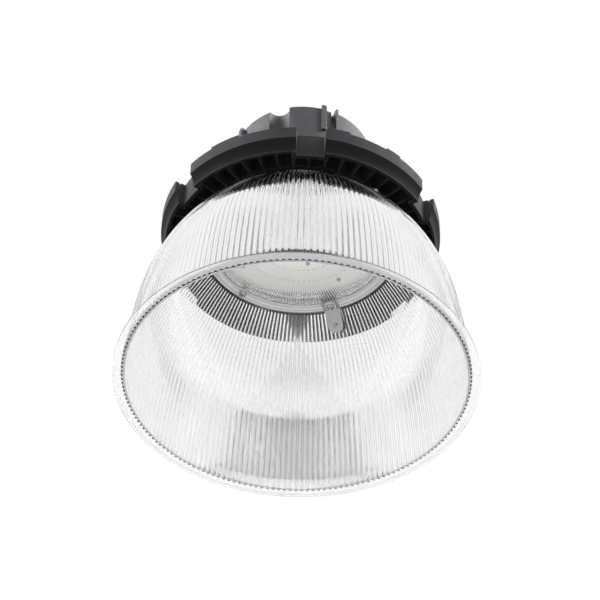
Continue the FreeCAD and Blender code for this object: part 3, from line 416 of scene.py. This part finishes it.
class Bell:
    """The bell's outline over the ridges: a shallow arc to the waist, then a tighter one."""

    mouth = 201.0
    waist = 189.0
    waist_height = 100.0
    lean = math.radians(10.2)
    neck = 125.0
    height = 222.0
    skin = 3.0
    mouth_thinning = 1.3
    mouth_chamfer = (0.1, 0.15)
    ridge_flat = 0.035
    valley_flat = 0.03
    rim_radius = 210.0
    rim_height = 2.4
    rim_round = 0.3
    rim_step = 0.8
    rim_foot = 4.0
    lower_rows = 4
    upper_rows = 18

    def __init__(self):
        self.lower = self.arc_through(self.mouth, 0)
        self.upper = self.arc_through(self.neck, self.height)

    def arc_through(self, radius, height):
        """Radius and centre of the arc through a point that leans as the waist does."""
        out, up = math.cos(self.lean), math.sin(self.lean)
        across = radius - self.waist
        rise = height - self.waist_height
        arc = -(across ** 2 + rise ** 2) / (2 * (out * across + up * rise))
        return arc, self.waist - arc * out, self.waist_height - arc * up

    def ridge(self, height):
        arc = self.lower if height <= self.waist_height else self.upper
        return arc[1] + math.sqrt(arc[0] ** 2 - (height - arc[2]) ** 2)

    def valley(self, height):
        return self.ridge(height) * (1 - math.pi / PRISMS)

    def inner(self, height):
        """The wall thins towards the mouth."""
        thin = self.skin - self.mouth_thinning * max(0, 1 - height / self.waist_height)
        return self.valley(height) - thin

    def outside(self, height):
        """Radius of the blunt ridges and that of the blunt valleys."""
        ridge, valley = self.ridge(height), self.valley(height)
        deep = ridge * math.pi / PRISMS
        return ridge - self.ridge_flat * deep, valley + self.valley_flat * deep

    def rows(self, first):
        """Heights up the wall from the first one, evenly spaced along each arc."""
        lower = [self.waist_height * step / self.lower_rows for step in range(1, self.lower_rows)]
        arc, _, centre = self.upper
        bend = math.asin((self.height - centre) / arc) - self.lean
        angles = [self.lean + bend * step / self.upper_rows for step in range(self.upper_rows + 1)]
        return [first] + lower + [centre + arc * math.sin(angle) for angle in angles]

    def columns(self):
        """Angle of each edge up the outside, and whether it is on a ridge: four to a prism."""
        ridge, valley = 0.5 * self.ridge_flat, 0.5 * self.valley_flat
        edges = ((-ridge, True), (ridge, True), (0.5 - valley, False), (0.5 + valley, False))
        return [((prism + share) * 2 * math.pi / PRISMS, on_ridge)
                for prism in range(PRISMS) for share, on_ridge in edges]

    def rim(self):
        """Corners of the rim, from the wall's foot out, down, and in to the mouth's step."""
        edge, top, soft = self.rim_radius, self.rim_height, self.rim_round
        foot = edge - self.rim_foot
        across, up = self.mouth_chamfer
        mouth = self.inner(self.rim_step + up) + across
        return ((edge - soft, top), (edge, top - soft), (edge, soft), (edge - soft, 0),
                (foot, 0), (foot, self.rim_step), (mouth, self.rim_step))


BELL = Bell()


def bell_loops(columns):
    """Loops of (radius, height) down the outside, round the rim and up the inside."""
    loops = []
    for height in reversed(BELL.rows(BELL.rim_height)):
        crest, root = BELL.outside(height)
        loops.append([(crest if on_ridge else root, height) for _, on_ridge in columns])
    for corner in BELL.rim():
        loops.append([corner] * len(columns))
    for height in BELL.rows(BELL.rim_step + BELL.mouth_chamfer[1]):
        loops.append([(BELL.inner(height), height)] * len(columns))
    return loops


def bell_reflector():
    """The prismatic bell: prisms with slightly blunt ridges, a smooth inside and its rim."""
    columns = BELL.columns()
    loops = bell_loops(columns)
    vertices = []
    for loop in loops:
        for (radius, height), (angle, _) in zip(loop, columns):
            vertices.append((radius * math.cos(angle) * MM, radius * math.sin(angle) * MM,
                             height * MM))
    faces = []
    sharp = []
    count = len(columns)
    walls = len(BELL.rows(BELL.rim_height)) - 1
    for row in range(len(loops)):
        here, below = row * count, (row + 1) % len(loops) * count
        for column in range(count):
            after = (column + 1) % count
            faces.append((here + column, here + after, below + after, below + column))
            if row < walls:
                sharp.append((here + column, below + column))
    bell = mesh_piece("bell_reflector", "clear_polycarbonate", vertices, faces, sharp)
    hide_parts("reflector")


# ---------------------------------------------------------------- cover, screws and LEDs

# Radius of the small flat face in the middle of a turned piece.
POLE = 0.5


def add_polar(vertices, faces, rings, matrix):
    """A closed surface of rings about +Z, from its first end to its last, moved by a matrix."""
    first = len(vertices)
    count = len(rings[0])
    for ring in rings:
        for index, (radius, height) in enumerate(ring):
            turn = 2 * math.pi * index / count
            point = Vector((radius * math.cos(turn), radius * math.sin(turn), height))
            vertices.append(matrix @ (point * MM))
    for row in range(len(rings) - 1):
        for index in range(count):
            after = (index + 1) % count
            low, high = first + row * count, first + (row + 1) * count
            faces.append((low + index, low + after, high + after, high + index))
    faces.append([first + index for index in reversed(range(count))])
    last = first + (len(rings) - 1) * count
    faces.append([last + index for index in range(count)])


COVER_COLUMNS = 720
COVER_MIDDLE = 60
COVER_RADIUS = 121.5
COVER_ROUND = 0.2
COVER_EDGE_STEP = 1
COVER_EDGE_START = 118.5
FIRST_GROOVE = 106.6
GROOVE_COUNT = 4
GROOVE_PITCH = 2.4
GROOVE_WIDTH = 1.2
GROOVE_DEPTH = 0.7
SKIRT_RADIUS = 106.5
SKIRT_BORE = 104.5
SKIRT_HEIGHT = 8
SKIRT_ROUND = 0.3
RIB_DEPTH = 0.8
COLUMNS_PER_RIB = 4


def cover_profile():
    """(radius, height) from the underside's middle out, over the edge and up the skirt."""
    low, top = COVER_LOW, COVER_TOP
    profile = [(POLE, low), (COVER_MIDDLE, low)]
    for index in range(GROOVE_COUNT):
        start = FIRST_GROOVE + GROOVE_PITCH * index
        profile += [(start, low), (start + GROOVE_WIDTH / 2, low + GROOVE_DEPTH),
                    (start + GROOVE_WIDTH, low)]
    step = low + COVER_EDGE_STEP
    soft = COVER_RADIUS - COVER_ROUND
    profile += [(COVER_EDGE_START, low), (COVER_EDGE_START, step), (soft, step),
                (COVER_RADIUS, step + COVER_ROUND), (COVER_RADIUS, top - COVER_ROUND), (soft, top)]
    end = top + SKIRT_HEIGHT
    profile += [(SKIRT_RADIUS, top), (SKIRT_RADIUS, end - SKIRT_ROUND),
                (SKIRT_RADIUS - SKIRT_ROUND, end)]
    return profile


def lens_cover():
    """The clear cover: fine round grooves below, and a skirt with upright ribs inside."""
    rings = [[corner] * COVER_COLUMNS for corner in cover_profile()]
    ribbed = [SKIRT_BORE if index % COLUMNS_PER_RIB < COLUMNS_PER_RIB / 2
              else SKIRT_BORE + RIB_DEPTH for index in range(COVER_COLUMNS)]
    end = COVER_TOP + SKIRT_HEIGHT
    for height in (end, end - SKIRT_ROUND, COVER_TOP + SKIRT_ROUND):
        rings.append([(radius, height) for radius in ribbed])
    rings.append([(SKIRT_BORE, COVER_TOP)] * COVER_COLUMNS)
    rings.append([(POLE, COVER_TOP)] * COVER_COLUMNS)
    vertices, faces = [], []
    add_polar(vertices, faces, rings, Matrix.Identity(4))
    cover = mesh_piece("clear_cover", "clear_polycarbonate", vertices, faces)
    cover.data.materials[0] = COVER_CLEAR
    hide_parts("lens_cover")


class Screw:
    """A pan head screw with a cross recess, whose sizes are shares of the head's."""

    sides = 64
    recess_reach = 0.55
    recess_slot = 0.17
    recess_depth = 0.75
    loops = (0.03, 0.1, 0.17, 0.25, 0.34, 0.44, 0.54, 0.62, 0.72, 0.82, 0.9, 0.96, 1.0)

    def __init__(self, head_radius, head_height, shank_radius, shank_length):
        self.head_radius = head_radius
        self.head_height = head_height
        self.shank_radius = shank_radius
        self.shank_length = shank_length

    def recess(self, radius, turn):
        """Depth of the cross recess at a point of the head."""
        reach = self.head_radius * self.recess_reach
        across = radius * min(abs(math.cos(turn)), abs(math.sin(turn)))
        if radius < reach and across < self.head_radius * self.recess_slot:
            return self.head_height * self.recess_depth * (1 - radius / reach) ** 0.4
        return 0

    def add(self, vertices, faces, matrix):
        """Its mesh, with the head facing -Z from the matrix's origin and the shank upwards."""
        turns = [2 * math.pi * side / self.sides for side in range(self.sides)]
        rings = []
        for share in self.loops:
            radius = self.head_radius * share
            dome = self.head_height * (1 - 0.42 * share ** 2 - 0.38 * share ** 10)
            rings.append([(radius, self.recess(radius, turn) - dome) for turn in turns])
        for corner in ((self.head_radius, 0), (self.shank_radius, 0),
                       (self.shank_radius, self.shank_length)):
            rings.append([corner] * self.sides)
        add_polar(vertices, faces, rings, matrix)


def ring_of_screws(name, node, screw, seat, circles):
    """Equal screws, heads down, for one CAD node; circles holds (radius, first angle, count)."""
    vertices, faces = [], []
    for radius, first, count in circles:
        for index in range(count):
            turn = math.radians(first + 360 * index / count)
            spot = Vector((radius * math.cos(turn), radius * math.sin(turn), seat)) * MM
            # No two recesses stand alike.
            twist = Matrix.Rotation(turn + 0.4 + 1.3 * index, 4, "Z")
            screw.add(vertices, faces, Matrix.Translation(spot) @ twist)
    screws = mesh_piece(name, "bright_steel", vertices, faces)
    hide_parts(node)


WALL_SCREW_HEIGHT = 210
WALL_SCREW_COUNT = 3
WALL_NUT_HEIGHT = 2.6
CLIP_WALL_GAP = 1.1
SHANK_PAST_NUT = 1


def wall_screws():
    """The small screws through each clip and the bell's wall, along the wall's normal."""
    arc, centre_radius, centre_height = BELL.upper
    rise = WALL_SCREW_HEIGHT - centre_height
    lean = math.asin(rise / arc)
    out, up = math.cos(lean), math.sin(lean)
    inner = math.hypot(BELL.inner(WALL_SCREW_HEIGHT) - centre_radius, rise)
    seat = inner - CLIP_WALL_GAP - CLIP_SHEET
    top = math.asin((BELL.height - centre_height) / arc)
    nut_seat = arc * math.cos(top - lean)
    screw = Screw(3.2, 2.0, 1.6, nut_seat + WALL_NUT_HEIGHT + SHANK_PAST_NUT - seat)
    spot = Vector((centre_radius + seat * out, 0, centre_height + seat * up)) * MM
    aim = Vector((out, 0, up)).to_track_quat("Z", "Y").to_matrix().to_4x4()
    vertices, faces = [], []
    for index in range(WALL_SCREW_COUNT):
        angle = math.radians(CLIP_ANGLE + 360 / WALL_SCREW_COUNT * index)
        turn = Matrix.Rotation(angle, 4, "Z")
        screw.add(vertices, faces, turn @ Matrix.Translation(spot) @ aim)
    screws = mesh_piece("clip_wall_screws", "bright_steel", vertices, faces)
    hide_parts("wall_screws")


WINDOW_SIDES = 12
WINDOW_STRETCH = 0.15
WINDOW_LOOPS = ((0.9, -0.02), (1.0, 0.1))


def led_windows():
    """The yellow window in the face of each LED package: a low oval just proud of it."""
    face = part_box("led_packages")[0].z / MM
    turns = [2 * math.pi * side / WINDOW_SIDES for side in range(WINDOW_SIDES)]
    rings = [[(radius * (1 + WINDOW_STRETCH * math.cos(2 * turn)), height) for turn in turns]
             for radius, height in WINDOW_LOOPS]
    vertices, faces = [], []
    for row in LED_ROWS:
        spot = Matrix.Translation(Vector((row, 0, face)) * MM)
        count = round(2 * math.pi * row / LED_PITCH)
        for index in range(count):
            turn = Matrix.Rotation(2 * math.pi * index / count, 4, "Z")
            add_polar(vertices, faces, rings, turn @ spot)
    mesh_piece("led_windows", "phosphor", vertices, faces)


bell_reflector()
lens_cover()
for washers in ("lens_washers", "clip_washers"):
    NODES[washers].data.materials[0] = WASHER_STEEL
ring_of_screws("cover_screws", "lens_screws", Screw(5.2, 3.2, 2.4, 16.9),
               COVER_LOW - COVER_WASHER, [(SCREW_CIRCLE, COVER_SCREW_ANGLE, 3)])
ring_of_screws("clip_cover_screws", "clip_screws", Screw(5.2, 3.2, 2.4, 18.4),
               COVER_LOW - COVER_WASHER - CLIP_SHEET, [(SCREW_CIRCLE, CLIP_ANGLE, 3)])
ring_of_screws("led_board_screws", "board_screws", Screw(2.8, 1.8, 1.45, 6.9),
               BOARD_FACE, [(88, 52, 4), (44, 74, 2)])
wall_screws()
led_windows()
NODES["led_packages"].data.materials[0] = PACKAGE_WHITE


# ---------------------------------------------------------------- camera, light and floor

CAMERA_DISTANCE = 1.7257
CAMERA_HEIGHT = -1.5110
CAMERA_BEARING = math.radians(-3.0)
LOOK_UP = 0.7605
LOOK_ASIDE = 0.0009
ROLL = 0.0289
LENS = 120.615
SENSOR = 36
CLIP_END = 100


def make_camera():
    """The photograph's viewpoint, from below and in front of the notch."""
    lens = bpy.data.cameras.new("camera")
    lens.lens = LENS
    lens.sensor_width = SENSOR
    lens.clip_end = CLIP_END
    camera = bpy.data.objects.new("camera", lens)
    bpy.context.scene.collection.objects.link(camera)
    spot = Matrix.Rotation(CAMERA_BEARING, 4, "Z") @ Vector((0, -CAMERA_DISTANCE, CAMERA_HEIGHT))
    camera.matrix_world = (Matrix.Translation(spot)
                           @ Matrix.Rotation(CAMERA_BEARING - LOOK_ASIDE, 4, "Z")
                           @ Matrix.Rotation(math.pi / 2 + LOOK_UP, 4, "X")
                           @ Matrix.Rotation(ROLL, 4, "Z"))
    bpy.context.scene.camera = camera


def seen_ray(tree):
    """1 for rays that show the surroundings: straight, in a reflection or through clear plastic."""
    path = tree.nodes.new("ShaderNodeLightPath")
    result = path.outputs["Is Camera Ray"]
    for name in ("Is Glossy Ray", "Is Transmission Ray"):
        larger = tree.nodes.new("ShaderNodeMath")
        larger.operation = "MAXIMUM"
        tree.links.new(result, larger.inputs[0])
        tree.links.new(path.outputs[name], larger.inputs[1])
        result = larger.outputs[0]
    return result


AMBIENT = 0.32
WHITE = (1, 1, 1, 1)


def make_world():
    """A white surround that lights the lamp less than it shows."""
    world = bpy.data.worlds.new("studio")
    bpy.context.scene.world = world
    world.use_nodes = True
    tree = world.node_tree
    soft = tree.nodes["Background"]
    soft.inputs["Color"].default_value = WHITE
    soft.inputs["Strength"].default_value = AMBIENT
    white = tree.nodes.new("ShaderNodeBackground")
    white.inputs["Color"].default_value = WHITE
    white.inputs["Strength"].default_value = 1
    mixed = tree.nodes.new("ShaderNodeMixShader")
    tree.links.new(seen_ray(tree), mixed.inputs["Fac"])
    tree.links.new(soft.outputs[0], mixed.inputs[1])
    tree.links.new(white.outputs[0], mixed.inputs[2])
    tree.links.new(mixed.outputs[0], tree.nodes["World Output"].inputs["Surface"])


FLOOR_HEIGHT = -2.2
FLOOR_REACH = 60
FLOOR_TINT = (0.85, 0.85, 0.85, 1)
FLOOR_GLOW = 0.8


def floor_material():
    """A matt pale surface, with a glow of its own where it is seen, so that it stays even."""
    material = bpy.data.materials.new("pale_floor")
    material.use_nodes = True
    tree = material.node_tree
    surface = tree.nodes["Principled BSDF"]
    surface.inputs["Base Color"].default_value = FLOOR_TINT
    surface.inputs["Roughness"].default_value = 0.9
    glow = tree.nodes.new("ShaderNodeEmission")
    glow.inputs["Strength"].default_value = 1
    share = tree.nodes.new("ShaderNodeMath")
    share.operation = "MULTIPLY"
    share.inputs[1].default_value = FLOOR_GLOW
    mixed = tree.nodes.new("ShaderNodeMixShader")
    tree.links.new(seen_ray(tree), share.inputs[0])
    tree.links.new(share.outputs[0], mixed.inputs["Fac"])
    tree.links.new(surface.outputs[0], mixed.inputs[1])
    tree.links.new(glow.outputs[0], mixed.inputs[2])
    tree.links.new(mixed.outputs[0], tree.nodes["Material Output"].inputs["Surface"])
    return material


def make_floor():
    """A plain pale floor, far below the hanging lamp."""
    corners = [(across * FLOOR_REACH, along * FLOOR_REACH, FLOOR_HEIGHT)
               for across, along in ((-1, -1), (1, -1), (1, 1), (-1, 1))]
    data = bpy.data.meshes.new("floor")
    data.from_pydata(corners, [], [(0, 1, 2, 3)])
    data.materials.append(floor_material())
    floor = bpy.data.objects.new("floor", data)
    bpy.context.scene.collection.objects.link(floor)


LAMPS_AIM = (0, 0, 0.25)


def make_lamp(name, spot, size, power):
    """A soft box that lights the lamp and doesn't show in it."""
    light = bpy.data.lights.new(name, "AREA")
    light.shape = "RECTANGLE"
    light.size, light.size_y = size
    light.energy = power
    lamp = bpy.data.objects.new(name, light)
    bpy.context.scene.collection.objects.link(lamp)
    lamp.location = spot
    lamp.visible_transmission = False
    lamp.visible_glossy = False
    lamp.rotation_euler = (Vector(LAMPS_AIM) - Vector(spot)).to_track_quat("-Z", "Y").to_euler()


make_camera()
make_world()
make_floor()
make_lamp("left_box", (-1.4, -0.1, 1.5), (0.9, 1.0), 185)
make_lamp("right_box", (1.4, -0.1, 1.5), (0.9, 1.0), 240)
make_lamp("front_box", (0, -2.0, 2.4), (0.9, 0.9), 38)
make_lamp("low_box", (0, -0.75, -1.3), (0.5, 0.5), 13)
bpy.context.scene.view_settings.view_transform = "Standard"
